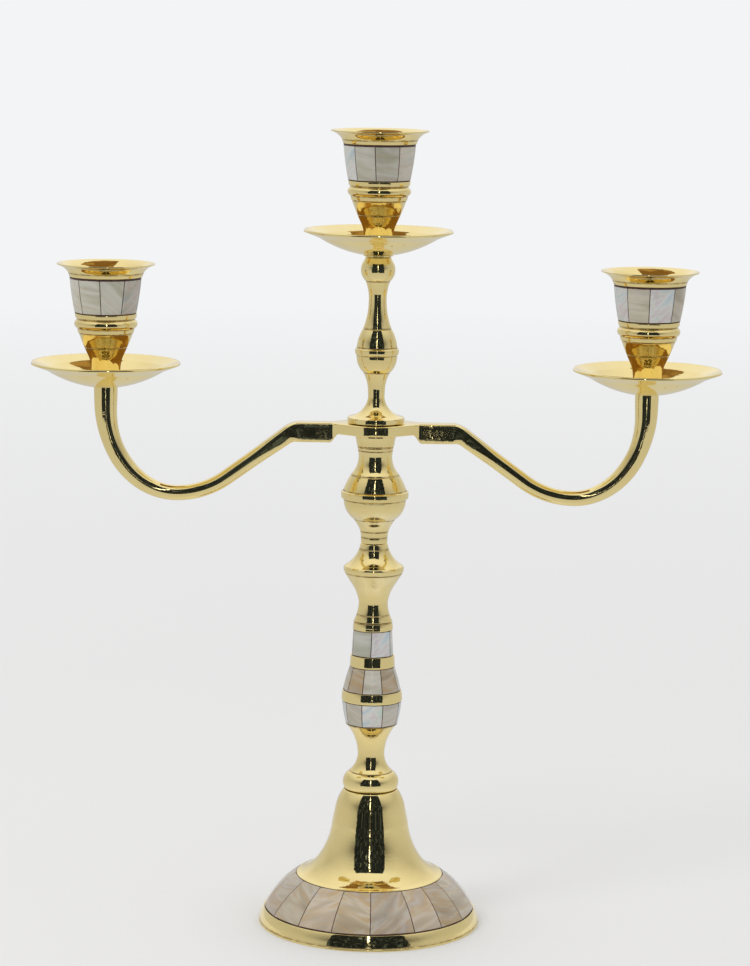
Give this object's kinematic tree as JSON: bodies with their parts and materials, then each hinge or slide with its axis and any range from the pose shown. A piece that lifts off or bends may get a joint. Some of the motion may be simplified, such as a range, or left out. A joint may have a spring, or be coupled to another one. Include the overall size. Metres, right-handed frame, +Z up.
{
  "type": "candelabra",
  "caption": "Turned brass tabletop candelabra with upswept side arms, drip pans, flared candle cups and mother-of-pearl inlay on the cups, stem and bell foot.",
  "frame": {"origin": "middle of the foot's underside, on the surface it stands on", "axes": "+Z up the stem, +X towards the right arm, seen from -Y"},
  "size_m": [0.2844, 0.0926, 0.3322],
  "materials": {
    "polished_brass": "mirror polished",
    "mother_of_pearl": "polished nacre tiles set in dark mastic",
    "fastener_steel": "plain turned steel"
  },
  "bodies": {
    "column": {"base_bell": "polished_brass", "base_inlay": "mother_of_pearl", "base_washer": "fastener_steel", "base_nut": "fastener_steel", "tie_rod": "fastener_steel", "lower_stem": "polished_brass", "stem_inlay_lower": "mother_of_pearl", "stem_inlay_middle": "mother_of_pearl", "stem_inlay_upper": "mother_of_pearl", "middle_stem": "polished_brass", "vase_stem": "polished_brass", "arm_collar": "polished_brass", "upper_stem": "polished_brass", "drip_pan_centre": "polished_brass", "cup_stud_centre": "fastener_steel"},
    "arms": {"cross_arm": "polished_brass", "drip_pan_left": "polished_brass", "drip_pan_right": "polished_brass", "cup_stud_left": "fastener_steel", "cup_stud_right": "fastener_steel"},
    "cup_left": {"candle_cup_left": "polished_brass", "cup_inlay_left": "mother_of_pearl"},
    "cup_centre": {"candle_cup_centre": "polished_brass", "cup_inlay_centre": "mother_of_pearl"},
    "cup_right": {"candle_cup_right": "polished_brass", "cup_inlay_right": "mother_of_pearl"}
  },
  "joints": [
    {"name": "arm_swivel", "type": "hinge", "parent": "column", "child": "arms", "pos_m": [0, 0, 0.20985], "axis": [0, 0, 1], "continuous": true},
    {"name": "cup_lift_left", "type": "slide", "parent": "arms", "child": "cup_left", "axis": [0, 0, 1], "range_m": [0, 0.012]},
    {"name": "cup_lift_centre", "type": "slide", "parent": "column", "child": "cup_centre", "axis": [0, 0, 1], "range_m": [0, 0.012]},
    {"name": "cup_lift_right", "type": "slide", "parent": "arms", "child": "cup_right", "axis": [0, 0, 1], "range_m": [0, 0.012]}
  ]
}
